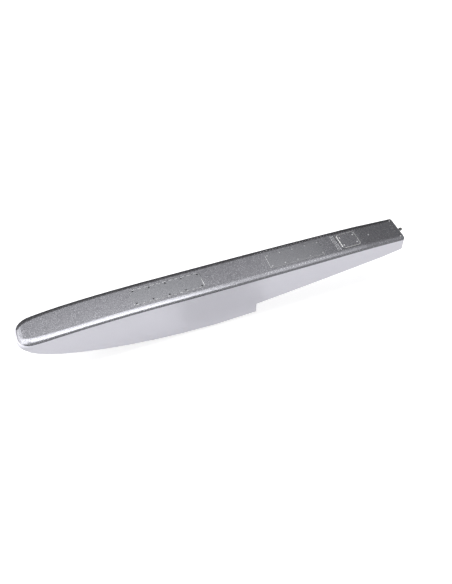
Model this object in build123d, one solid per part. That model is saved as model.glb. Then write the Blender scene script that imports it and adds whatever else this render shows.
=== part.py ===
from build123d import *
import math
import os

# Float of a radio-controlled model seaplane: a moulded hull and a moulded deck, bonded over plywood
# formers. All sizes are millimetres. X runs from bow (minus) to stern (plus), Z is up, and the origin
# is under the middle of the whole float, at the height of the keel's lowest point.
# A station is a distance from the bow. A drop or depth is measured down from the flat of the deck.
# An inset moves the whole form inwards, so that the same form gives the outside and every inside.

# Hull form
HULL_LENGTH = 1067.0
BEAM_MID = 100.8
BEAM_BOW = 98.4
BEAM_STERN = 88.4
WIDEST_STATION = 533.5
SIDE_DEPTH = 134.6
DEEPEST_STATION = 503.5
STEP_STATION = 626.5
SIDE_DEPTH_AT_STEP = 129.0
STEP_HEIGHT = 32.1
AFTERBODY_KNEE_STATION = 1008.5
AFTERBODY_KNEE_DEPTH = 53.0
SIDE_DEPTH_AT_STERN = 43.0
DEADRISE_DEG = 8.5
KEEL_FLAT_HALF = 9.0
KEEL_FLAT_PER_HALF_BEAM = 0.3
CHINE_RADIUS = 3.0
STERN_CORNER_RADIUS = 6.0

# Bow form. Fullness 2 would give an elliptical plan, and more gives a blunter one.
NOSE_LENGTH = 52.0
NOSE_FULLNESS = 2.8
NOSE_ROLL_LENGTH = 32.0
NOSE_ROLL_DROP = 14.0
FOREFOOT_POWER = 1.45
NOSE_CHINE_GROWTH = 16.0
NOSE_CHINE_REACH = 110.0
NOSE_FACET_DEG = 10.0

# Spacing of the cross-sections behind the bow
FIRST_SECTION_GAP = 22.0
SECTION_GAP_GROWTH = 1.2
WIDEST_SECTION_GAP = 110.0

# Deck form
BOW_DROP = 17.3
BOW_CURVE_END = 343.5
STERN_DROP = 4.6
STERN_CURVE_START = 903.5
SHOULDER_WIDTH = 15.0
SHOULDER_DROP = 6.0
NOSE_SHOULDER_WIDTH_GROWTH = 10.0
NOSE_SHOULDER_DROP_GROWTH = 9.0
NOSE_SHOULDER_REACH = 140.0
PARTING_DROP = 6.5

# How the rounded edges shrink on an inset form, and how much of a small section they may take
ROUNDING_LOSS_PER_INSET = 0.6
WIDEST_SHOULDER_PER_SIDE = 0.85
TALLEST_ROUNDING_PER_HEIGHT = 0.45
WIDEST_CHINE_PER_SIDE = 0.5

# Moulding walls, and the deck's lip that is bonded inside the hull's rim
WALL = 1.5
LIP_THICKNESS = 1.2
LIP_DEPTH = 6.0
LIP_ROOT = 1.2

# Clearances
GLUE_GAP = 0.2
PLATE_GAP = 0.4
SCREW_GAP = 0.15

# Plates let into the deck, and the thickened pads under them
PLATE_THICKNESS = 1.5
PLATE_PROUD = 0.5
PLATE_CORNER_RADIUS = 4.0
PLATE_EDGE_CHAMFER = 0.5
PAD_MARGIN = 4.0
PAD_THICKNESS = 1.8

# Front mounting plate, with two rows of holes for the strut fittings
FRONT_PLATE_START = 302.0
FRONT_PLATE_LENGTH = 189.0
FRONT_PLATE_WIDTH = 54.0
FRONT_HOLE_PITCH = 43.6
FRONT_HOLE_COUNT = 5
FRONT_ROW_SPACING = 42.0
FRONT_HOLE_RADIUS = 2.1

# Rear mounting plate, held by two rows of small countersunk screws
REAR_PLATE_START = 675.5
REAR_PLATE_LENGTH = 158.5
REAR_PLATE_WIDTH = 52.0
REAR_SCREW_PITCH = 36.7
REAR_SCREW_COUNT = 5
REAR_ROW_SPACING = 40.0

# Rails and threaded inserts under the plates
RAIL_WIDTH = 12.0
RAIL_HEIGHT = 10.0
INSERT_OUTER_RADIUS = 3.0
INSERT_BORE_RADIUS = 1.65
INSERT_LENGTH = 8.0

# Rear hatch
HATCH_START = 883.5
HATCH_LENGTH = 57.5
HATCH_WIDTH = 54.0
HATCH_CORNER_RADIUS = 9.0
HATCH_RIM_WIDTH = 1.8
HATCH_RIM_HEIGHT = 0.8
HATCH_OPENING_LENGTH = 27.0
HATCH_OPENING_WIDTH = 36.0
HATCH_OPENING_RADIUS = 4.0
HATCH_SCREW_INSET_FORE = 11.0
HATCH_SCREW_INSET_AFT = 7.5
HATCH_SCREW_SPACING = 29.0
HATCH_BAR_WIDTH = 3.0
HATCH_BAR_HEIGHT = 1.6
HATCH_BAR_LENGTH = 44.0
HATCH_BAR_INSET = 4.0
HATCH_BAR_ROUNDNESS = 0.9
GASKET_THICKNESS = 0.6
HATCH_FRAME_THICKNESS = 6.0

# Countersunk screws
SCREW_HEAD_RADIUS = 1.9
SCREW_HEAD_HEIGHT = 1.1
SCREW_SHANK_RADIUS = 1.0
SCREW_LENGTH = 9.0

# Formers, keelson, deck beam and transom block
FORMER_THICKNESS = 3.0
FORMER_WEB = 15.0
FORMER_HOLE_RADIUS = 8.0
FORMER_HOLE_ROUNDNESS = 0.45
BOW_FORMER_STATION = 130.0
KEELSON_WIDTH = 8.0
KEELSON_HEIGHT = 10.0
KEELSON_LINE_POINTS = 7
DECK_BEAM_STATION = 981.5
DECK_BEAM_LENGTH = 12.0
DECK_BEAM_DEPTH = 10.0
DECK_BEAM_HALF_WIDTH = 34.0
TRANSOM_BLOCK_LENGTH = 14.0
TRANSOM_BLOCK_DEPTH = 24.0
TRANSOM_BLOCK_HALF_WIDTH = 38.0
STERN_SCREW_INSET = 8.0
STERN_SCREW_SPACING = 64.0

# Rudder gudgeon on the transom
GUDGEON_REACH = 10.5
GUDGEON_EYE_RADIUS = 4.8
GUDGEON_BORE_RADIUS = 2.2
GUDGEON_ARM_WIDTH = 3.6
GUDGEON_ARM_HEIGHT = 3.4
GUDGEON_BASE_WIDTH = 22.0
GUDGEON_BASE_HEIGHT = 11.0
GUDGEON_BASE_THICKNESS = 1.6
GUDGEON_BASE_CORNER = 2.0
GUDGEON_DROP = 6.8
GUDGEON_SCREW_SPACING = 15.0

# Values that follow from the ones above
NOSE_TIP = NOSE_LENGTH * (1 - math.cos(math.radians(NOSE_FACET_DEG)))
OVERALL_LENGTH = HULL_LENGTH + GUDGEON_REACH + GUDGEON_EYE_RADIUS - NOSE_TIP
BOW_X = -OVERALL_LENGTH / 2 - NOSE_TIP
STERN_X = BOW_X + HULL_LENGTH
V_SLOPE = math.tan(math.radians(DEADRISE_DEG))
KEEL_RISE = (BEAM_MID / 2 - KEEL_FLAT_HALF) * V_SLOPE
DECK_Z = SIDE_DEPTH + KEEL_RISE
BEYOND = 20.0
WIDE = BEAM_MID / 2 + BEYOND
LOW_Z = DECK_Z - SIDE_DEPTH - BEYOND
PLATE_RECESS = PLATE_THICKNESS - PLATE_PROUD
PAD_BOTTOM = PLATE_RECESS + PAD_THICKNESS
HATCH_RECESS = PLATE_RECESS + GASKET_THICKNESS
HATCH_PAD_BOTTOM = HATCH_RECESS + PAD_THICKNESS
FRONT_FORE_FORMER = FRONT_PLATE_START - PAD_MARGIN
FRONT_AFT_FORMER = FRONT_PLATE_START + FRONT_PLATE_LENGTH + PAD_MARGIN + FORMER_THICKNESS
STEP_FORMER = STEP_STATION - WALL - GLUE_GAP
REAR_FORMER = REAR_PLATE_START + REAR_PLATE_LENGTH + PAD_MARGIN + FORMER_THICKNESS
AFT_FORMER = DECK_BEAM_STATION + FORMER_THICKNESS
HANDLE = 0.5523


def at(station, y, z):
    return Vector(BOW_X + station, y, z)


def quarter_round(run):
    """Height of a quarter circle over its run from 0 to 1: steep at the start, level at the end."""
    return math.sqrt(max(0.0, 1 - (1 - run) ** 2))


def deck_drop(station):
    """How far the deck's centre line lies under its flat, where it falls to the bow and the stern."""
    if station < BOW_CURVE_END:
        return BOW_DROP * ((BOW_CURVE_END - station) / BOW_CURVE_END) ** 2
    if station > STERN_CURVE_START:
        run = (station - STERN_CURVE_START) / (HULL_LENGTH - STERN_CURVE_START)
        return STERN_DROP * run**2
    return 0.0


def half_beam(station, inset=0.0):
    if station < NOSE_LENGTH:
        behind = (NOSE_LENGTH - station) / (NOSE_LENGTH - inset)
        return (BEAM_BOW / 2 - inset) * (1 - behind**NOSE_FULLNESS) ** (1 / NOSE_FULLNESS)
    if station < WIDEST_STATION:
        run = (WIDEST_STATION - station) / (WIDEST_STATION - NOSE_LENGTH)
        return BEAM_MID / 2 - (BEAM_MID - BEAM_BOW) / 2 * run**2 - inset
    run = (station - WIDEST_STATION) / (HULL_LENGTH - WIDEST_STATION)
    return BEAM_MID / 2 - (BEAM_MID - BEAM_STERN) / 2 * run**2 - inset


def deck_height(station, inset=0.0):
    drop = deck_drop(station) + inset
    if station < NOSE_ROLL_LENGTH:
        run = (station - inset) / (NOSE_ROLL_LENGTH - inset)
        drop += (NOSE_ROLL_DROP - inset) * (1 - quarter_round(run))
    return DECK_Z - drop


def chine_height(station, inset=0.0):
    """Height of the forebody's chine: a full forefoot, then a shallow rocker that runs to the step."""
    tip = BOW_DROP + NOSE_ROLL_DROP
    if station < DEEPEST_STATION:
        run = (station - inset) / (DEEPEST_STATION - inset)
        depth = tip + (SIDE_DEPTH - inset - tip) * quarter_round(run) ** FOREFOOT_POWER
    else:
        run = min(1.0, (station - DEEPEST_STATION) / (STEP_STATION - DEEPEST_STATION))
        depth = SIDE_DEPTH - inset - (SIDE_DEPTH - SIDE_DEPTH_AT_STEP) * run**2
    return DECK_Z - depth


def keel_flat_half(station, inset=0.0):
    return min(KEEL_FLAT_HALF, KEEL_FLAT_PER_HALF_BEAM * half_beam(station, inset))


def keel_height(station, inset=0.0):
    rise = (half_beam(station, inset) - keel_flat_half(station, inset)) * V_SLOPE
    return chine_height(station, inset) - rise


def fade(station, reach):
    """1 at the bow, falling smoothly to 0 at the station named by reach."""
    return max(0.0, 1 - station / reach) ** 2


def section(station, inset):
    """One cross-section: flat deck, rolled shoulders, upright sides, rounded chines, V and flat keel."""
    side = half_beam(station, inset)
    top = deck_height(station, inset)
    chine = chine_height(station, inset)
    tallest = TALLEST_ROUNDING_PER_HEIGHT * (top - chine)
    loss = ROUNDING_LOSS_PER_INSET * inset
    growth = fade(station, NOSE_SHOULDER_REACH)
    width = SHOULDER_WIDTH + NOSE_SHOULDER_WIDTH_GROWTH * growth - loss
    width = min(width, WIDEST_SHOULDER_PER_SIDE * side)
    drop = min(SHOULDER_DROP + NOSE_SHOULDER_DROP_GROWTH * growth - loss, tallest)
    corner = CHINE_RADIUS + NOSE_CHINE_GROWTH * fade(station, NOSE_CHINE_REACH) - loss
    corner = min(corner, tallest, WIDEST_CHINE_PER_SIDE * side)
    flat = keel_flat_half(station, inset)
    keel = keel_height(station, inset)
    reach = corner * (1 - HANDLE)

    shoulder = Bezier(
        at(station, side - width, top),
        at(station, side - width * (1 - HANDLE), top),
        at(station, side, top - drop * (1 - HANDLE)),
        at(station, side, top - drop),
    )
    chine_round = Bezier(
        at(station, side, chine + corner),
        at(station, side, chine + reach),
        at(station, side - reach, chine - reach * V_SLOPE),
        at(station, side - corner, chine - corner * V_SLOPE),
    )
    bottom = Line(chine_round @ 1, at(station, flat, keel))
    starboard = [shoulder, Line(shoulder @ 1, chine_round @ 0), chine_round, bottom]
    starboard = [line.edge() for line in starboard]
    port = [edge.mirror(Plane.XZ) for edge in starboard]
    deck = Line(at(station, width - side, top), at(station, side - width, top)).edge()
    keel_flat = Line(at(station, flat, keel), at(station, -flat, keel)).edge()
    return Face(Wire([deck, keel_flat] + starboard + port))


def nose_stations(inset):
    """Stations at equal angles round the bow, so that they crowd towards its tip."""
    count = round(90 / NOSE_FACET_DEG)
    angles = [math.radians(NOSE_FACET_DEG * i) for i in range(1, count + 1)]
    return [NOSE_LENGTH - (NOSE_LENGTH - inset) * math.cos(angle) for angle in angles]


def body_stations(inset):
    """Stations behind the bow, each gap a little wider than the last."""
    stations = [NOSE_LENGTH]
    gap = FIRST_SECTION_GAP
    while stations[-1] + gap < HULL_LENGTH - WIDEST_SECTION_GAP / 2:
        stations.append(stations[-1] + gap)
        gap = min(gap * SECTION_GAP_GROWTH, WIDEST_SECTION_GAP)
    return stations + [HULL_LENGTH - inset]


def closed_face(lines):
    return Face(Wire([line.edge() for line in lines]))


def under_afterbody(inset):
    """What the afterbody clears away behind the step: a prism under its V bottom."""

    def keel(station, depth):
        return at(station, 0, DECK_Z - depth - KEEL_RISE + inset)

    step = STEP_STATION - inset
    stern = HULL_LENGTH + BEYOND
    fall = (AFTERBODY_KNEE_DEPTH - SIDE_DEPTH_AT_STERN) / (HULL_LENGTH - AFTERBODY_KNEE_STATION)
    points = [
        at(step, 0, LOW_Z),
        keel(step, SIDE_DEPTH_AT_STEP - STEP_HEIGHT),
        keel(AFTERBODY_KNEE_STATION, AFTERBODY_KNEE_DEPTH),
        keel(stern, SIDE_DEPTH_AT_STERN - fall * BEYOND),
        at(stern, 0, LOW_Z),
    ]
    face = Face(Wire.make_polygon(points, close=True))
    middle = extrude(face, amount=KEEL_FLAT_HALF, dir=(0, 1, 0), both=True)
    tilt = math.radians(DEADRISE_DEG)
    side = extrude(face, amount=WIDE, dir=(0, math.cos(tilt), math.sin(tilt)))
    side = Pos(0, KEEL_FLAT_HALF, 0) * side
    return middle + side + side.mirror(Plane.XZ)


def outside_stern_corners(inset):
    """The two upright slivers that round the stern's corners."""
    radius = STERN_CORNER_RADIUS - inset
    station = HULL_LENGTH - inset
    side = half_beam(HULL_LENGTH, inset)
    centre = (BOW_X + station - radius, side - radius)
    block = Pos(BOW_X + station, side, DECK_Z / 2) * Box(2 * radius, 2 * radius, 2 * DECK_Z)
    rod = Pos(centre[0], centre[1], DECK_Z / 2) * Cylinder(radius, 2 * DECK_Z)
    corner = block - rod
    return corner + corner.mirror(Plane.XZ)


def float_form(inset):
    """The whole float's form: ruled from section to section, then cut back behind the step."""
    nose = loft([section(station, inset) for station in nose_stations(inset)], ruled=True)
    body = loft([section(station, inset) for station in body_stations(inset)], ruled=True)
    return nose + body - under_afterbody(inset) - outside_stern_corners(inset)


def under_parting(raised):
    """Everything under the joint between deck and hull, or under a line raised from that joint."""

    def on_line(station):
        return at(station, 0, DECK_Z - deck_drop(station) - PARTING_DROP + raised)

    bow_slope = 2 * BOW_DROP / BOW_CURVE_END
    stern_slope = 2 * STERN_DROP / (HULL_LENGTH - STERN_CURVE_START)
    bow = Spline(
        [on_line(s) for s in (-BEYOND, BOW_CURVE_END / 3, 2 * BOW_CURVE_END / 3, BOW_CURVE_END)],
        tangents=[Vector(1, 0, bow_slope), Vector(1, 0, 0)],
    )
    flat = Line(on_line(BOW_CURVE_END), on_line(STERN_CURVE_START))
    stern = Spline(
        [on_line(STERN_CURVE_START), on_line(HULL_LENGTH)],
        tangents=[Vector(1, 0, 0), Vector(1, 0, -stern_slope)],
    )
    tail = Line(stern @ 1, (stern @ 1) + Vector(BEYOND, 0, -stern_slope * BEYOND))
    end, start = tail @ 1, bow @ 0
    low_end, low_start = Vector(end.X, 0, LOW_Z), Vector(start.X, 0, LOW_Z)
    frame = [Line(end, low_end), Line(low_end, low_start), Line(low_start, start)]
    face = closed_face([bow, flat, stern, tail] + frame)
    return extrude(face, amount=WIDE, dir=(0, 1, 0), both=True)


def deck_block(start, length, width, bottom, top, radius):
    """An upright block with rounded corners, between two drops under the deck's flat."""
    outline = RectangleRounded(length, width, radius)
    centre = Pos(BOW_X + start + length / 2, 0, DECK_Z - bottom)
    return centre * extrude(outline, amount=bottom - top)


def upright_rod(station, y, radius, bottom, top):
    """An upright cylinder between two drops under the deck's flat."""
    middle = DECK_Z - (bottom + top) / 2
    return Pos(BOW_X + station, y, middle) * Cylinder(radius, bottom - top)


def front_hole_stations():
    span = FRONT_HOLE_PITCH * (FRONT_HOLE_COUNT - 1)
    first = FRONT_PLATE_START + (FRONT_PLATE_LENGTH - span) / 2
    return [first + FRONT_HOLE_PITCH * i for i in range(FRONT_HOLE_COUNT)]


def rear_screw_stations():
    span = REAR_SCREW_PITCH * (REAR_SCREW_COUNT - 1)
    first = REAR_PLATE_START + (REAR_PLATE_LENGTH - span) / 2
    return [first + REAR_SCREW_PITCH * i for i in range(REAR_SCREW_COUNT)]


def grid(stations, spacing):
    return [(station, y) for station in stations for y in (-spacing / 2, spacing / 2)]


def front_holes():
    return grid(front_hole_stations(), FRONT_ROW_SPACING)


def rear_screw_places():
    return grid(rear_screw_stations(), REAR_ROW_SPACING)


def hatch_screw_places():
    fore = HATCH_START + HATCH_SCREW_INSET_FORE
    aft = HATCH_START + HATCH_LENGTH - HATCH_SCREW_INSET_AFT
    return grid([fore, aft], HATCH_SCREW_SPACING)


def deck_screw_places():
    beam = DECK_BEAM_STATION - DECK_BEAM_LENGTH / 2
    return [(beam, 0)] + grid([HULL_LENGTH - STERN_SCREW_INSET], STERN_SCREW_SPACING)


def screw_body(gap):
    """A countersunk screw, head upwards at Z 0, or the hole that it needs if gap is over 0."""
    head = Cone(SCREW_SHANK_RADIUS + gap, SCREW_HEAD_RADIUS + gap, SCREW_HEAD_HEIGHT)
    head = Pos(0, 0, -SCREW_HEAD_HEIGHT / 2) * head
    shank = Pos(0, 0, -(SCREW_LENGTH + gap) / 2) * Cylinder(SCREW_SHANK_RADIUS + gap, SCREW_LENGTH + gap)
    return head + shank


def screw():
    return screw_body(0)


def screw_set(places, drop, make):
    """One piece for each place, its head at the given drop under the deck's line there."""
    pieces = []
    for station, y in places:
        top = DECK_Z - deck_drop(station) - drop
        pieces.append(Pos(BOW_X + station, y, top) * make())
    return pieces


def screw_hole():
    top = Pos(0, 0, BEYOND / 2) * Cylinder(SCREW_HEAD_RADIUS + SCREW_GAP, BEYOND)
    return screw_body(SCREW_GAP) + top


def flat_screw_set(places, drop, make):
    """The same on a plate, which stays level with the deck's flat."""
    return [Pos(BOW_X + station, y, DECK_Z - drop) * make() for station, y in places]


def cut_all(piece, tools):
    for tool in tools:
        piece = piece - tool
    return piece


def chamfer_top(piece):
    top = piece.faces().sort_by(Axis.Z)[-1]
    return chamfer(top.outer_wire().edges(), PLATE_EDGE_CHAMFER)


def pad_and_recess(start, length, width, recess, radius):
    margin = PAD_MARGIN
    bottom = recess + PAD_THICKNESS
    pad = deck_block(start - margin, length + 2 * margin, width + 2 * margin, bottom, WALL / 2, radius)
    gap = PLATE_GAP
    hollow = deck_block(start - gap, length + 2 * gap, width + 2 * gap, recess, -BEYOND, radius + gap)
    return pad, hollow


def make_deck_lip(forms):
    """A thin flange that hangs from the deck inside the hull's rim, with its root on the deck's wall."""
    hanging = (forms["fit"] - forms["lip"]) & under_parting(LIP_ROOT)
    root = (forms["root"] - forms["lip"]) & under_parting(LIP_ROOT)
    hanging = hanging - under_parting(-LIP_DEPTH)
    root = root - under_parting(GLUE_GAP)
    return hanging + root


def make_deck_shell(forms):
    shell = forms["outer"] - forms["cavity"] - under_parting(0)
    shell = shell + make_deck_lip(forms)
    plates = [
        (FRONT_PLATE_START, FRONT_PLATE_LENGTH, FRONT_PLATE_WIDTH, PLATE_RECESS, PLATE_CORNER_RADIUS),
        (REAR_PLATE_START, REAR_PLATE_LENGTH, REAR_PLATE_WIDTH, PLATE_RECESS, PLATE_CORNER_RADIUS),
        (HATCH_START, HATCH_LENGTH, HATCH_WIDTH, HATCH_RECESS, HATCH_CORNER_RADIUS),
    ]
    for plate in plates:
        pad, hollow = pad_and_recess(*plate)
        shell = shell + pad - hollow
    shell = shell - hatch_opening(HATCH_PAD_BOTTOM + 1, 0)
    bottom = PAD_BOTTOM + 1
    inserts = [upright_rod(s, y, INSERT_OUTER_RADIUS, bottom, 0) for s, y in front_holes()]
    shell = cut_all(shell, inserts)
    shell = cut_all(shell, flat_screw_set(rear_screw_places(), -PLATE_PROUD, screw_hole))
    shell = cut_all(shell, flat_screw_set(hatch_screw_places(), -PLATE_PROUD, screw_hole))
    shell = cut_all(shell, gudgeon_screws(screw_hole))
    return cut_all(shell, screw_set(deck_screw_places(), 0, screw_hole))


def inside(piece, forms):
    """The part of a piece that fits the hull's walls, and inside the deck's lip above the joint."""
    below_lip = under_parting(-LIP_DEPTH - GLUE_GAP)
    return (piece & forms["fit"] & below_lip) + ((piece & forms["clear"]) - below_lip)


def make_hull_shell(forms):
    shell = (forms["outer"] - forms["cavity"]) & under_parting(0)
    return cut_all(shell, gudgeon_screws(screw_hole))


def make_front_plate():
    plate = deck_block(
        FRONT_PLATE_START,
        FRONT_PLATE_LENGTH,
        FRONT_PLATE_WIDTH,
        PLATE_RECESS,
        -PLATE_PROUD,
        PLATE_CORNER_RADIUS,
    )
    plate = chamfer_top(plate)
    return cut_all(
        plate, [upright_rod(s, y, FRONT_HOLE_RADIUS, BEYOND, -BEYOND) for s, y in front_holes()]
    )


def make_rear_plate():
    plate = deck_block(
        REAR_PLATE_START,
        REAR_PLATE_LENGTH,
        REAR_PLATE_WIDTH,
        PLATE_RECESS,
        -PLATE_PROUD,
        PLATE_CORNER_RADIUS,
    )
    plate = chamfer_top(plate)
    return cut_all(plate, flat_screw_set(rear_screw_places(), -PLATE_PROUD, screw_hole))


def make_rail(start, end, y):
    length = end - start
    middle_z = DECK_Z - PAD_BOTTOM - RAIL_HEIGHT / 2
    return Pos(BOW_X + (start + end) / 2, y, middle_z) * Box(length, RAIL_WIDTH, RAIL_HEIGHT)


def make_front_rail(y):
    rail = make_rail(FRONT_FORE_FORMER, FRONT_AFT_FORMER - FORMER_THICKNESS, y)
    places = [(s, hole_y) for s, hole_y in front_holes() if hole_y * y > 0]
    radius = INSERT_OUTER_RADIUS + SCREW_GAP
    return cut_all(rail, [upright_rod(s, hole_y, radius, DECK_Z, -BEYOND) for s, hole_y in places])


def make_rear_rail(y):
    rail = make_rail(STEP_FORMER, REAR_FORMER - FORMER_THICKNESS, y)
    places = [(s, hole_y) for s, hole_y in rear_screw_places() if hole_y * y > 0]
    return cut_all(rail, flat_screw_set(places, -PLATE_PROUD, screw_hole))


def make_front_inserts():
    inserts = []
    for station, y in front_holes():
        top = PAD_BOTTOM
        sleeve = upright_rod(station, y, INSERT_OUTER_RADIUS, top + INSERT_LENGTH, top)
        sleeve = sleeve - upright_rod(station, y, INSERT_BORE_RADIUS, DECK_Z, -BEYOND)
        inserts.append(sleeve)
    return Compound(children=inserts)


def hatch_opening(bottom, top):
    fore = HATCH_START + (HATCH_SCREW_INSET_FORE + HATCH_LENGTH - HATCH_SCREW_INSET_AFT) / 2
    start = fore - HATCH_OPENING_LENGTH / 2
    return deck_block(
        start, HATCH_OPENING_LENGTH, HATCH_OPENING_WIDTH, bottom, top, HATCH_OPENING_RADIUS
    )


def make_hatch_cover():
    """The cover with its raised rim, and a rounded bar across its fore end."""
    cover = deck_block(
        HATCH_START,
        HATCH_LENGTH,
        HATCH_WIDTH,
        PLATE_RECESS,
        -PLATE_PROUD - HATCH_RIM_HEIGHT,
        HATCH_CORNER_RADIUS,
    )
    cover = chamfer_top(cover)
    cover = cover - deck_block(
        HATCH_START + HATCH_RIM_WIDTH,
        HATCH_LENGTH - 2 * HATCH_RIM_WIDTH,
        HATCH_WIDTH - 2 * HATCH_RIM_WIDTH,
        -PLATE_PROUD,
        -BEYOND,
        HATCH_CORNER_RADIUS - HATCH_RIM_WIDTH,
    )
    bar_x = BOW_X + HATCH_START + HATCH_BAR_INSET
    profile = Rectangle(HATCH_BAR_WIDTH, 2 * HATCH_BAR_HEIGHT)
    profile = fillet(profile.vertices(), HATCH_BAR_WIDTH / 2 * HATCH_BAR_ROUNDNESS)
    bar = extrude(Plane.XZ * profile, amount=HATCH_BAR_LENGTH / 2, both=True)
    under_bar = deck_block(
        HATCH_START,
        HATCH_LENGTH,
        HATCH_WIDTH,
        BEYOND,
        -PLATE_PROUD,
        HATCH_CORNER_RADIUS,
    )
    cover = cover + (Pos(bar_x, 0, DECK_Z + PLATE_PROUD) * bar - under_bar)
    return cut_all(cover, flat_screw_set(hatch_screw_places(), -PLATE_PROUD, screw_hole))


def make_hatch_gasket():
    gasket = deck_block(
        HATCH_START,
        HATCH_LENGTH,
        HATCH_WIDTH,
        HATCH_RECESS,
        PLATE_RECESS,
        HATCH_CORNER_RADIUS,
    )
    gasket = gasket - hatch_opening(BEYOND, -BEYOND)
    return cut_all(gasket, flat_screw_set(hatch_screw_places(), -PLATE_PROUD, screw_hole))


def make_hatch_frame():
    top = HATCH_PAD_BOTTOM
    bottom = top + HATCH_FRAME_THICKNESS
    frame = deck_block(HATCH_START, HATCH_LENGTH, HATCH_WIDTH, bottom, top, HATCH_CORNER_RADIUS)
    frame = frame - hatch_opening(BEYOND, -BEYOND)
    return cut_all(frame, flat_screw_set(hatch_screw_places(), -PLATE_PROUD, screw_hole))


def slab(aft_station):
    thick = FORMER_THICKNESS
    return Pos(BOW_X + aft_station - thick / 2, 0, DECK_Z / 2) * Box(thick, 2 * WIDE, 3 * DECK_Z)


def former_floor(station):
    """Height of the bottom that a former stands on, ahead of the step or behind it."""
    if station < STEP_STATION:
        return keel_height(station)
    run = (station - STEP_STATION) / (AFTERBODY_KNEE_STATION - STEP_STATION)
    depth_at_step = SIDE_DEPTH_AT_STEP - STEP_HEIGHT
    depth = depth_at_step + (AFTERBODY_KNEE_DEPTH - depth_at_step) * run
    return DECK_Z - depth - KEEL_RISE


def make_former(aft_station, forms, keelson=None):
    """A plywood former with a lightening hole, let in round the deck's lip and the keelson."""
    former = inside(slab(aft_station), forms)
    deck = DECK_Z - deck_drop(aft_station)
    low = former_floor(aft_station) + FORMER_WEB + KEELSON_HEIGHT / 2
    high = deck - FORMER_WEB
    width = 2 * (half_beam(aft_station) - FORMER_WEB)
    radius = min(FORMER_HOLE_RADIUS, FORMER_HOLE_ROUNDNESS * (high - low))
    hole = RectangleRounded(width, high - low, radius)
    hole = extrude(Plane.YZ * hole, amount=FORMER_THICKNESS, both=True)
    former = former - Pos(BOW_X + aft_station, 0, (low + high) / 2) * hole
    if keelson is not None:
        former = former - keelson
    return former


def keel_strip(height, width):
    """An upright strip on the keel's outside line, from the bow former to the step former."""
    start = BOW_FORMER_STATION
    gap = (STEP_FORMER - FORMER_THICKNESS - start) / (KEELSON_LINE_POINTS - 1)
    stations = [start + gap * i for i in range(KEELSON_LINE_POINTS)]
    low = Spline([at(s, 0, keel_height(s)) for s in stations])
    high = Spline([at(s, 0, keel_height(s) + height) for s in stations])
    face = closed_face([low, Line(low @ 1, high @ 1), high, Line(high @ 0, low @ 0)])
    return extrude(face, amount=width / 2, dir=(0, 1, 0), both=True)


def make_keelson(forms):
    """The strip, cut to lie on the hull's inside."""
    return keel_strip(WALL + GLUE_GAP + KEELSON_HEIGHT, KEELSON_WIDTH) & forms["fit"]


def keelson_slot():
    return keel_strip(WALL + 2 * GLUE_GAP + KEELSON_HEIGHT, KEELSON_WIDTH + 2 * GLUE_GAP)


def block_under_deck(start, length, half_width, depth):
    top = DECK_Z - deck_drop(start)
    return Pos(BOW_X + start + length / 2, 0, top - depth / 2) * Box(length, 2 * half_width, depth)


def make_deck_beam(forms):
    """A beam against the deck's underside, short of the lip on both sides."""
    start = DECK_BEAM_STATION - DECK_BEAM_LENGTH
    beam = block_under_deck(start, DECK_BEAM_LENGTH, DECK_BEAM_HALF_WIDTH, DECK_BEAM_DEPTH)
    return cut_all(beam & forms["fit"], screw_set(deck_screw_places(), 0, screw_hole))


def make_transom_block(forms):
    """A block against the inside of the transom, stepped forward to clear the deck's lip."""
    start = HULL_LENGTH - WALL - GLUE_GAP - TRANSOM_BLOCK_LENGTH
    block = block_under_deck(
        start, TRANSOM_BLOCK_LENGTH, TRANSOM_BLOCK_HALF_WIDTH, TRANSOM_BLOCK_DEPTH
    )
    block = cut_all(inside(block, forms), screw_set(deck_screw_places(), 0, screw_hole))
    return cut_all(block, gudgeon_screws(screw_hole))


def gudgeon_top():
    return DECK_Z - STERN_DROP - GUDGEON_DROP


def gudgeon_screws(make):
    """The two gudgeon screws, or their holes, lying along X with their heads aft."""
    x = STERN_X + GUDGEON_BASE_THICKNESS
    z = gudgeon_top() - GUDGEON_BASE_HEIGHT / 2
    half = GUDGEON_SCREW_SPACING / 2
    return [Pos(x, y, z) * Rot(0, 90, 0) * make() for y in (-half, half)]


def make_gudgeon():
    """A base plate on the transom, and an arm that ends in an eye for the rudder's pin."""
    top = gudgeon_top()
    base = RectangleRounded(GUDGEON_BASE_WIDTH, GUDGEON_BASE_HEIGHT, GUDGEON_BASE_CORNER)
    base = extrude(Plane.YZ * base, amount=GUDGEON_BASE_THICKNESS)
    base = Pos(STERN_X, 0, top - GUDGEON_BASE_HEIGHT / 2) * base
    arm_z = top - GUDGEON_ARM_HEIGHT / 2
    arm = Pos(STERN_X + GUDGEON_REACH / 2, 0, arm_z) * Box(
        GUDGEON_REACH, GUDGEON_ARM_WIDTH, GUDGEON_ARM_HEIGHT
    )
    eye_x = STERN_X + GUDGEON_REACH
    eye = Pos(eye_x, 0, arm_z) * Cylinder(GUDGEON_EYE_RADIUS, GUDGEON_ARM_HEIGHT)
    bore = Pos(eye_x, 0, arm_z) * Cylinder(GUDGEON_BORE_RADIUS, 2 * GUDGEON_ARM_HEIGHT)
    gudgeon = base + arm + eye - bore
    return cut_all(gudgeon, gudgeon_screws(screw_hole))


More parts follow.
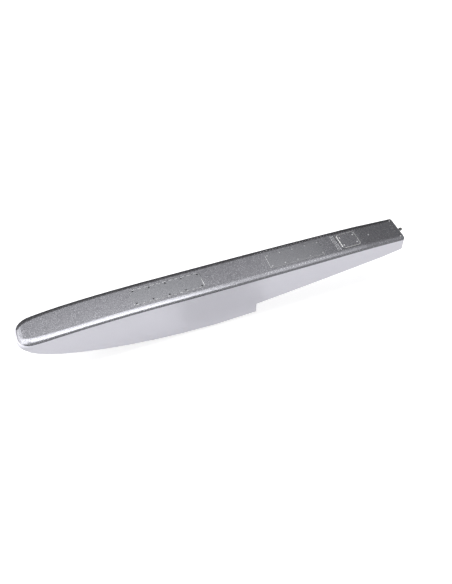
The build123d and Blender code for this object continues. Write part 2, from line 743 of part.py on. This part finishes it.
def make_parts():
    lip_inner = WALL + GLUE_GAP + LIP_THICKNESS
    forms = {
        "outer": float_form(0.0),
        "cavity": float_form(WALL),
        "fit": float_form(WALL + GLUE_GAP),
        "root": float_form(WALL - GLUE_GAP),
        "lip": float_form(lip_inner),
        "clear": float_form(lip_inner + GLUE_GAP),
    }
    slot = keelson_slot()
    half_front, half_rear = FRONT_ROW_SPACING / 2, REAR_ROW_SPACING / 2
    return {
        "hull_shell": make_hull_shell(forms),
        "deck_shell": make_deck_shell(forms),
        "front_mount_plate": make_front_plate(),
        "front_rail_port": make_front_rail(-half_front),
        "front_rail_starboard": make_front_rail(half_front),
        "front_inserts": make_front_inserts(),
        "rear_mount_plate": make_rear_plate(),
        "rear_rail_port": make_rear_rail(-half_rear),
        "rear_rail_starboard": make_rear_rail(half_rear),
        "rear_plate_screws": Compound(children=flat_screw_set(rear_screw_places(), -PLATE_PROUD, screw)),
        "hatch_cover": make_hatch_cover(),
        "hatch_gasket": make_hatch_gasket(),
        "hatch_frame": make_hatch_frame(),
        "hatch_screws": Compound(children=flat_screw_set(hatch_screw_places(), -PLATE_PROUD, screw)),
        "former_bow": make_former(BOW_FORMER_STATION, forms),
        "former_front_fore": make_former(FRONT_FORE_FORMER, forms, slot),
        "former_front_aft": make_former(FRONT_AFT_FORMER, forms, slot),
        "former_step": make_former(STEP_FORMER, forms),
        "former_rear": make_former(REAR_FORMER, forms),
        "former_aft": make_former(AFT_FORMER, forms),
        "keelson": make_keelson(forms),
        "deck_beam": make_deck_beam(forms),
        "transom_block": make_transom_block(forms),
        "deck_screws": Compound(children=screw_set(deck_screw_places(), 0, screw)),
        "rudder_gudgeon": make_gudgeon(),
        "gudgeon_screws": Compound(children=gudgeon_screws(screw)),
    }


os.makedirs("parts", exist_ok=True)
for node, shape in make_parts().items():
    export_step(shape, os.path.join("parts", node + ".step"))
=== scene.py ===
import math

import bpy
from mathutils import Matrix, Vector


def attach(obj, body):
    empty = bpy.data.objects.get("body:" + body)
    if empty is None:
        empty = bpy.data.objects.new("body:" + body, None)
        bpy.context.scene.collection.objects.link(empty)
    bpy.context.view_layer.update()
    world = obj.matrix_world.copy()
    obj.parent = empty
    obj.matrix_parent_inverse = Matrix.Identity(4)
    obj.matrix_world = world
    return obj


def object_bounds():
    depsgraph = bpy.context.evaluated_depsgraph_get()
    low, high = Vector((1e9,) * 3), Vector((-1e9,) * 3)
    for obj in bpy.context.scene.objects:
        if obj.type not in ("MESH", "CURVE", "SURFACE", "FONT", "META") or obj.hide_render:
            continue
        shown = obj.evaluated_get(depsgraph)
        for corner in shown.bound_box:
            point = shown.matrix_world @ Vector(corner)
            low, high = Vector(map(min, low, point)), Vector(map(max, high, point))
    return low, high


# Metres throughout, in the part's own frame: +X from bow to stern, +Z up, port side at -Y.
# A station is a distance aft of the bow.

BOW_X = -0.541545
DECK_Z = 0.140787
ABOVE_DECK = 0.05

# Camera
CAMERA_AT = (-0.460111, -1.273203, 1.561265)
CAMERA_TILT_DEG = 42.242
CAMERA_TURN_DEG = -20.495
LENS_MM = 59.735
SENSOR_MM = 36.0
SHIFT_Y = 0.001
CLIP_NEAR, CLIP_FAR = 0.05, 60

# Small bright studs set in the deck
STUD_RADIUS = 0.0007
STUD_HEIGHT = 0.0003
STUD_RINGS, STUD_SIDES = 3, 10
CROSS_LINE_STATIONS = (0.8715, 0.8755, 0.8795)
CROSS_LINE_NEAR, CROSS_LINE_FAR = -0.027, 0.028
CROSS_LINE_STUDS = 20
SIDE_LINE_START, SIDE_LINE_END = 0.6535, 0.8755
SIDE_LINE_Y = 0.039
SIDE_LINE_STUDS = 26

# Rounded raised lines: on the front plate's border, and near the stern
BEAD_RADIUS = 0.00045
BEAD_HEIGHT = 0.00028
BEAD_ARC_STEPS = 6
BEAD_END_SCALE = 0.3
PLATE_START, PLATE_END = 0.302, 0.491
PLATE_TOP = DECK_Z + 0.0005
PLATE_BORDER_Y = 0.0258
PLATE_BORDER_CORNER = 0.004
PLATE_BORDER_DASHES = 11
FIRST_DASH_IN, LAST_DASH_IN = 0.006, 0.018
FAR_DASH, NEAR_DASH = 0.012, 0.006
AFT_LINE_IN = 0.001
TAIL_RIDGE_STATION = 1.0525
TAIL_RIDGE_HALF = 0.003
TAIL_RIDGE_YS = (-0.009, 0.003, 0.015)

# Plate: how far a face leans from level where the painted highlight on a bevel and the painted
# shade on a hole wall set in
BEVEL_HIGHLIGHT_LEAN = (0.1, 0.25)
HOLE_WALL_SHADE_LEAN = (0.6, 0.8)

# Hatch: heights above the deck where the painted highlights on the rim and on the fore bar's top
# set in, and the bar's end
HATCH_RIM_HIGHLIGHT_RISE = (0.0007, 0.0009)
HATCH_BAR_HIGHLIGHT_RISE = (0.0018, 0.0019)
HATCH_BAR_END = BOW_X + 0.8905
HATCH_BAR_FADE = 0.0005

# Grain: stretch per axis, depth of relief, and the range of noise that a finish spans
EVEN_GRAIN = (1.0, 1.0, 1.0)
WOOD_GRAIN = (8.0, 220.0, 220.0)
FINE_RELIEF = 0.0001
COARSE_RELIEF = 0.0003
NOISE_DETAIL = 4.0
NOISE_LOW, NOISE_HIGH = 0.3, 0.7

# Stage
FLOOR_SIZE = 40
FLOOR_TONE = 0.5


def new_material(name):
    """A new material, its node tree and its Principled surface."""
    made = bpy.data.materials.new(name)
    made.use_nodes = True
    tree = made.node_tree
    return made, tree, tree.nodes["Principled BSDF"]


def link(tree, out, into):
    tree.links.new(out, into)


def position(tree, scale):
    """Object coordinates stretched per axis, so that grain can follow the float's length."""
    coords = tree.nodes.new("ShaderNodeTexCoord")
    mapping = tree.nodes.new("ShaderNodeMapping")
    mapping.inputs["Scale"].default_value = scale
    link(tree, coords.outputs["Object"], mapping.inputs["Vector"])
    return mapping.outputs["Vector"]


def noise(tree, vector, scale):
    texture = tree.nodes.new("ShaderNodeTexNoise")
    texture.inputs["Scale"].default_value = scale
    texture.inputs["Detail"].default_value = NOISE_DETAIL
    link(tree, vector, texture.inputs["Vector"])
    return texture.outputs["Fac"]


def ramp(tree, value, low, high):
    """Maps a noise value around its middle to the range from low to high."""
    node = tree.nodes.new("ShaderNodeMapRange")
    node.inputs["From Min"].default_value = NOISE_LOW
    node.inputs["From Max"].default_value = NOISE_HIGH
    node.inputs["To Min"].default_value = low
    node.inputs["To Max"].default_value = high
    link(tree, value, node.inputs["Value"])
    return node.outputs["Result"]


def mix_colour(tree, value, dark, light):
    node = tree.nodes.new("ShaderNodeMix")
    node.data_type = "RGBA"
    node.inputs["A"].default_value = (*dark, 1.0)
    node.inputs["B"].default_value = (*light, 1.0)
    link(tree, ramp(tree, value, 0.0, 1.0), node.inputs["Factor"])
    return node.outputs["Result"]


def add_bump(tree, surface, value, strength, distance):
    bump = tree.nodes.new("ShaderNodeBump")
    bump.inputs["Strength"].default_value = strength
    bump.inputs["Distance"].default_value = distance
    link(tree, value, bump.inputs["Height"])
    link(tree, bump.outputs["Normal"], surface.inputs["Normal"])


def finish_material(
    name, dark, light, metallic, rough, scale, bump, relief=FINE_RELIEF, grain=EVEN_GRAIN
):
    """A surface whose colour, gloss and relief all follow one grain."""
    made, tree, surface = new_material(name)
    value = noise(tree, position(tree, grain), scale)
    link(tree, mix_colour(tree, value, dark, light), surface.inputs["Base Color"])
    link(tree, ramp(tree, value, *rough), surface.inputs["Roughness"])
    surface.inputs["Metallic"].default_value = metallic
    add_bump(tree, surface, value, bump, relief)
    return made


def tint_where(made, value, low, high, tint):
    """Turns the surface to another colour as a value runs from low to high."""
    tree = made.node_tree
    surface = tree.nodes["Principled BSDF"]
    mask = tree.nodes.new("ShaderNodeMapRange")
    mask.inputs["From Min"].default_value = low
    mask.inputs["From Max"].default_value = high
    link(tree, value, mask.inputs["Value"])
    mix = tree.nodes.new("ShaderNodeMix")
    mix.data_type = "RGBA"
    link(tree, mask.outputs["Result"], mix.inputs["Factor"])
    link(tree, surface.inputs["Base Color"].links[0].from_socket, mix.inputs["A"])
    mix.inputs["B"].default_value = (*tint, 1.0)
    link(tree, mix.outputs["Result"], surface.inputs["Base Color"])


def place_along(made, axis):
    """Where a point of the surface lies along one axis of the frame."""
    tree = made.node_tree
    split = tree.nodes.new("ShaderNodeSeparateXYZ")
    link(tree, position(tree, EVEN_GRAIN), split.inputs["Vector"])
    return split.outputs[axis]


def lean_from_level(made):
    """How far a face leans from level: 0 on a plate's top, 1 on an upright wall."""
    tree = made.node_tree
    geometry = tree.nodes.new("ShaderNodeNewGeometry")
    split = tree.nodes.new("ShaderNodeSeparateXYZ")
    link(tree, geometry.outputs["True Normal"], split.inputs["Vector"])
    lean = tree.nodes.new("ShaderNodeMath")
    lean.operation = "SUBTRACT"
    lean.inputs[0].default_value = 1.0
    link(tree, split.outputs["Z"], lean.inputs[1])
    return lean.outputs["Value"]


def set_material(names, made):
    for name in names:
        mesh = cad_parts[name].data
        mesh.materials.clear()
        mesh.materials.append(made)


def nodes_with(part_of_name):
    return [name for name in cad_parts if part_of_name in name]


def spread(first, last, count):
    return [first + (last - first) * i / (count - 1) for i in range(count)]


def deck_point(station, y):
    """The point and normal of the deck at a station and a distance from the centre line."""
    start = Vector((BOW_X + station, y, DECK_Z + ABOVE_DECK))
    hit, place, normal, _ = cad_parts["deck_shell"].ray_cast(start, Vector((0, 0, -1)))
    if not hit:
        raise ValueError("no deck under station %g" % station)
    return place, normal


def add_object(name, data):
    made = bpy.data.objects.new(name, data)
    bpy.context.scene.collection.objects.link(made)
    return made


def add_mesh(name, verts, faces, made):
    mesh = bpy.data.meshes.new(name)
    mesh.from_pydata([tuple(v) for v in verts], [], faces)
    mesh.materials.append(made)
    for polygon in mesh.polygons:
        polygon.use_smooth = True
    piece = add_object(name, mesh)
    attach(piece, "root")


def studs(name, places, made):
    """Small flattened domes in one mesh, each standing on the deck and closed underneath."""
    verts, faces = [], []
    for station, y in places:
        place, normal = deck_point(station, y)
        turn = normal.to_track_quat("Z", "Y").to_matrix()
        first = len(verts)
        for ring in range(STUD_RINGS):
            angle = math.pi / 2 * ring / STUD_RINGS
            for side in range(STUD_SIDES):
                around = 2 * math.pi * side / STUD_SIDES
                local = Vector((
                    STUD_RADIUS * math.cos(angle) * math.cos(around),
                    STUD_RADIUS * math.cos(angle) * math.sin(around),
                    STUD_HEIGHT * math.sin(angle),
                ))
                verts.append(place + turn @ local)
        verts.append(place + turn @ Vector((0, 0, STUD_HEIGHT)))
        for ring in range(STUD_RINGS - 1):
            for side in range(STUD_SIDES):
                a = first + ring * STUD_SIDES + side
                b = first + ring * STUD_SIDES + (side + 1) % STUD_SIDES
                faces.append((a, b, b + STUD_SIDES, a + STUD_SIDES))
        top = first + STUD_RINGS * STUD_SIDES
        last = first + (STUD_RINGS - 1) * STUD_SIDES
        for side in range(STUD_SIDES):
            faces.append((last + side, last + (side + 1) % STUD_SIDES, top))
        faces.append(tuple(first + side for side in reversed(range(STUD_SIDES))))
    add_mesh(name, verts, faces, made)


def beads(name, segments, base, made):
    """Rounded raised lines in one mesh, each with closed ends that taper towards its base."""
    verts, faces = [], []
    arc = BEAD_ARC_STEPS
    row = arc + 1
    for (s0, y0), (s1, y1) in segments:
        start = Vector((BOW_X + s0, y0, base))
        run = Vector((s1 - s0, y1 - y0, 0))
        along = run.normalized()
        across = Vector((-along.y, along.x, 0))
        first = len(verts)
        places = (0, BEAD_RADIUS, run.length - BEAD_RADIUS, run.length)
        scales = (BEAD_END_SCALE, 1.0, 1.0, BEAD_END_SCALE)
        for place, scale in zip(places, scales):
            for i in range(row):
                angle = math.pi * i / arc
                side = across * (BEAD_RADIUS * scale * math.cos(angle))
                rise = Vector((0, 0, BEAD_HEIGHT * scale * math.sin(angle)))
                verts.append(start + along * place + side + rise)
        spans = len(places) - 1
        for step in range(spans):
            near = first + step * row
            far = near + row
            faces.extend((near + i, near + i + 1, far + i + 1, far + i) for i in range(arc))
            faces.append((near, far, far + arc, near + arc))
        faces.append(tuple(first + i for i in reversed(range(row))))
        faces.append(tuple(first + spans * row + i for i in range(row)))
    add_mesh(name, verts, faces, made)


def plate_border():
    """Broken beads along the front plate's sides, and one line across its aft end."""
    edge = PLATE_BORDER_Y
    reach = edge - PLATE_BORDER_CORNER
    starts = spread(PLATE_START + FIRST_DASH_IN, PLATE_END - LAST_DASH_IN, PLATE_BORDER_DASHES)
    far = [((s, edge), (s + FAR_DASH, edge)) for s in starts]
    near = [((s, -edge), (s + NEAR_DASH, -edge)) for s in starts]
    aft = ((PLATE_END - AFT_LINE_IN, -reach), (PLATE_END - AFT_LINE_IN, reach))
    return far + near + [aft]


def aim(piece, at, target):
    piece.rotation_euler = (Vector(target) - Vector(at)).to_track_quat("-Z", "Y").to_euler()


def area_light(name, at, target, size, power, mirrored=True):
    """A flat lamp; one that isn't mirrored doesn't show in the float's glossy surfaces."""
    data = bpy.data.lights.new(name, "AREA")
    data.shape = "RECTANGLE"
    data.size, data.size_y = size
    data.energy = power
    lamp = add_object(name, data)
    lamp.location = at
    aim(lamp, at, target)
    lamp.visible_glossy = mirrored


def seen_level(tree, other_level, seen):
    """seen where the camera or a mirror-like surface looks, and other_level for all other light."""
    path = tree.nodes.new("ShaderNodeLightPath")
    total = path.outputs["Is Camera Ray"]
    for output in ("Is Glossy Ray", "Is Transmission Ray"):
        add = tree.nodes.new("ShaderNodeMath")
        add.operation = "MAXIMUM"
        link(tree, total, add.inputs[0])
        link(tree, path.outputs[output], add.inputs[1])
        total = add.outputs[0]
    level = tree.nodes.new("ShaderNodeMapRange")
    level.inputs["To Min"].default_value = other_level
    level.inputs["To Max"].default_value = seen
    link(tree, total, level.inputs["Value"])
    return level.outputs["Result"]


def make_world(seen, light_level):
    """Near white where it is seen, and a plain level of light for everything else."""
    world = bpy.data.worlds.new("studio")
    bpy.context.scene.world = world
    world.use_nodes = True
    tree = world.node_tree
    back = tree.nodes["Background"]
    link(tree, seen_level(tree, light_level, seen), back.inputs["Strength"])
    back.inputs["Color"].default_value = (1, 1, 1, 1)


def matt_material(name, tone):
    made, tree, surface = new_material(name)
    surface.inputs["Base Color"].default_value = (tone, tone, tone, 1)
    surface.inputs["Roughness"].default_value = 1.0
    surface.inputs["Specular IOR Level"].default_value = 0.0
    return made, tree, surface


def make_floor(height, glow):
    """A floor seen as white that keeps shadows: its own glow is seen, but lights nothing."""
    made, tree, surface = matt_material("studio_floor", FLOOR_TONE)
    surface.inputs["Emission Color"].default_value = (1, 1, 1, 1)
    link(tree, seen_level(tree, 0.0, glow), surface.inputs["Emission Strength"])
    bpy.ops.mesh.primitive_plane_add(size=FLOOR_SIZE, location=(0, 0, height))
    floor = bpy.context.object
    floor.name = "floor"
    floor.data.materials.append(made)


def make_card(name, tone, at, target, size):
    """A card that only the float's glossy surfaces see."""
    made, _, _ = matt_material(name, tone)
    bpy.ops.mesh.primitive_plane_add(size=1, location=at)
    card = bpy.context.object
    card.name = name
    aim(card, at, target)
    card.scale = (*size, 1)
    card.data.materials.append(made)
    card.visible_camera = False
    card.visible_diffuse = False
    card.visible_shadow = False


def make_camera():
    data = bpy.data.cameras.new("camera")
    data.sensor_fit = "HORIZONTAL"
    data.sensor_width = SENSOR_MM
    data.lens = LENS_MM
    data.shift_y = SHIFT_Y
    data.clip_start, data.clip_end = CLIP_NEAR, CLIP_FAR
    camera = add_object("camera", data)
    camera.location = CAMERA_AT
    camera.rotation_euler = (math.radians(CAMERA_TILT_DEG), 0, math.radians(CAMERA_TURN_DEG))
    bpy.context.scene.camera = camera


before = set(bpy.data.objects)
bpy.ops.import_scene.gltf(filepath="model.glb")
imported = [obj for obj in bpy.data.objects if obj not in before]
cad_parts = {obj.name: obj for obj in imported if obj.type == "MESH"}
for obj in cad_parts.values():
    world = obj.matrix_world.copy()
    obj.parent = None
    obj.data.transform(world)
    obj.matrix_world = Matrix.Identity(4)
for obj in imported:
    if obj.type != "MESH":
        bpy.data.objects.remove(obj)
cad_low, cad_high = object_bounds()

# Mouldings. On the real float the deck and the hull carry one silver paint; the deck's dark metal
# tone here is painted shade for the dark room that it mirrors
moulding = finish_material(
    "moulding", dark=(0.56, 0.555, 0.61), light=(0.61, 0.605, 0.66),
    metallic=0.1, rough=(0.40, 0.48), scale=900.0, bump=0.03,
)
# Painted shade: the deck is coloured much darker than the silver it is painted with.
deck = finish_material(
    "deck", dark=(0.125, 0.125, 0.138), light=(0.240, 0.240, 0.257),
    metallic=0.9, rough=(0.21, 0.29), scale=380.0, bump=0.18, relief=COARSE_RELIEF,
)
set_material(["hull_shell"], moulding)
set_material(["deck_shell"], deck)

# Plates: painted highlight on the bevels, and painted shade on the walls of the holes
plate = finish_material(
    "plate", dark=(0.172, 0.174, 0.186), light=(0.208, 0.210, 0.224),
    metallic=0.9, rough=(0.22, 0.28), scale=420.0, bump=0.12, relief=COARSE_RELIEF,
)
# Painted highlight: the bevels turn pale.
tint_where(plate, lean_from_level(plate), *BEVEL_HIGHLIGHT_LEAN, tint=(0.48, 0.48, 0.49))
# Painted shade: the walls of the holes turn near black.
tint_where(plate, lean_from_level(plate), *HOLE_WALL_SHADE_LEAN, tint=(0.04, 0.04, 0.04))
set_material(["front_mount_plate", "rear_mount_plate"], plate)

# Hatch: a painted highlight on the rim, a plain darker tone over the fore bar, and a painted
# highlight on the bar's top
hatch = finish_material(
    "hatch", dark=(0.150, 0.150, 0.163), light=(0.205, 0.205, 0.220),
    metallic=0.9, rough=(0.22, 0.32), scale=420.0, bump=0.2, relief=COARSE_RELIEF,
)
rim_highlight_low, rim_highlight_high = (DECK_Z + rise for rise in HATCH_RIM_HIGHLIGHT_RISE)
bar_highlight_low, bar_highlight_high = (DECK_Z + rise for rise in HATCH_BAR_HIGHLIGHT_RISE)
bar_edge = HATCH_BAR_END - HATCH_BAR_FADE
# Painted highlight: the raised rim turns pale.
tint_where(hatch, place_along(hatch, "Z"), rim_highlight_low, rim_highlight_high, tint=(0.5, 0.5, 0.5))
tint_where(hatch, place_along(hatch, "X"), HATCH_BAR_END, bar_edge, tint=(0.18, 0.18, 0.19))
# Painted highlight: the top of the fore bar turns near white.
tint_where(hatch, place_along(hatch, "Z"), bar_highlight_low, bar_highlight_high, tint=(0.85, 0.85, 0.85))
set_material(["hatch_cover"], hatch)

rubber = finish_material(
    "rubber", dark=(0.02, 0.02, 0.02), light=(0.03, 0.03, 0.03),
    metallic=0.0, rough=(0.75, 0.9), scale=1500.0, bump=0.2,
)
set_material(["hatch_gasket"], rubber)

# Wood inside
plywood = finish_material(
    "plywood", dark=(0.55, 0.39, 0.22), light=(0.70, 0.54, 0.34),
    metallic=0.0, rough=(0.6, 0.75), scale=1.0, bump=0.2, relief=COARSE_RELIEF, grain=WOOD_GRAIN,
)
spruce = finish_material(
    "spruce", dark=(0.62, 0.46, 0.28), light=(0.78, 0.62, 0.42),
    metallic=0.0, rough=(0.55, 0.7), scale=1.0, bump=0.2, relief=COARSE_RELIEF, grain=WOOD_GRAIN,
)
set_material(nodes_with("former_") + ["hatch_frame"], plywood)
set_material(nodes_with("_rail_") + ["keelson", "deck_beam", "transom_block"], spruce)

# Metal fittings
# The inserts are coloured nearly black, much darker than bare brass.
brass = finish_material(
    "brass", dark=(0.035, 0.029, 0.018), light=(0.055, 0.045, 0.028),
    metallic=0.8, rough=(0.45, 0.6), scale=1200.0, bump=0.05,
)
steel = finish_material(
    "steel", dark=(0.72, 0.72, 0.74), light=(0.86, 0.86, 0.88),
    metallic=0.9, rough=(0.22, 0.35), scale=1500.0, bump=0.05,
)
# A darker copy of the steel: painted shade, for the rear plate's screws, the gudgeon's screws and
# the tail ridges.
shaded_steel = finish_material(
    "shaded_steel", dark=(0.30, 0.30, 0.31), light=(0.42, 0.42, 0.43),
    metallic=0.9, rough=(0.3, 0.4), scale=1500.0, bump=0.05,
)
# A metal paler than the plate, for the plate's own border beads: painted highlight along the
# border.
border_highlight_steel = finish_material(
    "border_highlight_steel", dark=(0.50, 0.50, 0.51), light=(0.62, 0.62, 0.63),
    metallic=0.9, rough=(0.3, 0.4), scale=1500.0, bump=0.05,
)
dark_metal = finish_material(
    "dark_metal", dark=(0.035, 0.035, 0.037), light=(0.06, 0.06, 0.062),
    metallic=0.3, rough=(0.4, 0.55), scale=1200.0, bump=0.1,
)
set_material(["front_inserts"], brass)
set_material(["hatch_screws", "deck_screws"], steel)
set_material(["rear_plate_screws", "gudgeon_screws"], shaded_steel)
set_material(["rudder_gudgeon"], dark_metal)

# Small relief on the deck
cross_ys = spread(CROSS_LINE_NEAR, CROSS_LINE_FAR, CROSS_LINE_STUDS)
cross_places = [(s, y) for s in CROSS_LINE_STATIONS for y in cross_ys]
studs("cross_line_studs", cross_places, steel)
side_stations = spread(SIDE_LINE_START, SIDE_LINE_END, SIDE_LINE_STUDS)
side_places = [(s, y) for s in side_stations for y in (-SIDE_LINE_Y, SIDE_LINE_Y)]
studs("side_line_studs", side_places, steel)
beads("plate_border", plate_border(), PLATE_TOP, border_highlight_steel)
tail_start = TAIL_RIDGE_STATION - TAIL_RIDGE_HALF
tail_end = TAIL_RIDGE_STATION + TAIL_RIDGE_HALF
tail_lines = [((tail_start, y), (tail_end, y)) for y in TAIL_RIDGE_YS]
tail_level = deck_point(tail_end, 0)[0].z
beads("tail_ridges", tail_lines, tail_level, shaded_steel)

# Stage: the lamps overhead and the cards set the deck's tone by what it mirrors
bpy.context.scene.view_settings.view_transform = "Standard"
make_camera()
make_world(seen=0.9, light_level=0.4)
make_floor(cad_low.z, glow=0.7)
make_card("back_card", 0.05, at=(0.4, 2.6, 1.2), target=(0.4, 0, 1.2), size=(6.0, 2.4))
make_card("tail_card", 0.55, at=(2.5, 2.5, 3.0), target=(0.5, 0, 0.1), size=(1.8, 1.6))
make_card("far_card", 0.2, at=(0.0, 1.35, 0.002), target=(0.0, 1.35, 1.0), size=(4.0, 2.4))
make_card("bow_card", 0.12, at=(-1.7, -0.42, 0.002), target=(-1.7, -0.42, 1.0), size=(2.2, 1.15))
make_card("side_card", 0.05, at=(0.01, -0.36, 0.002), target=(0.01, -0.36, 1.0), size=(0.24, 0.56))
area_light("top_box", (-0.45, 0.5, 3.0), (-0.45, 0.5, 0.0), size=(2.1, 1.4), power=63)
area_light("bow_box", (-0.45, 1.65, 3.0), (-0.45, 1.65, 0.0), size=(2.1, 1.1), power=28)
area_light("mid_box", (1.35, 1.1, 3.0), (1.35, 1.1, 0.0), size=(0.8, 2.6), power=12)
area_light("nose_box", (-2.5, 1.0, 2.1), (-0.5, 0.0, 0.1), size=(2.4, 2.4), power=85)

# The side lamps light only the sides
area_light(
    "left_box", (-1.8, -3.0, 1.4), (0.0, 0.0, 0.05), size=(1.6, 1.6), power=27, mirrored=False
)
area_light(
    "right_box", (3.0, -2.4, 1.2), (0.2, 0.0, 0.05), size=(1.6, 1.6), power=56, mirrored=False
)
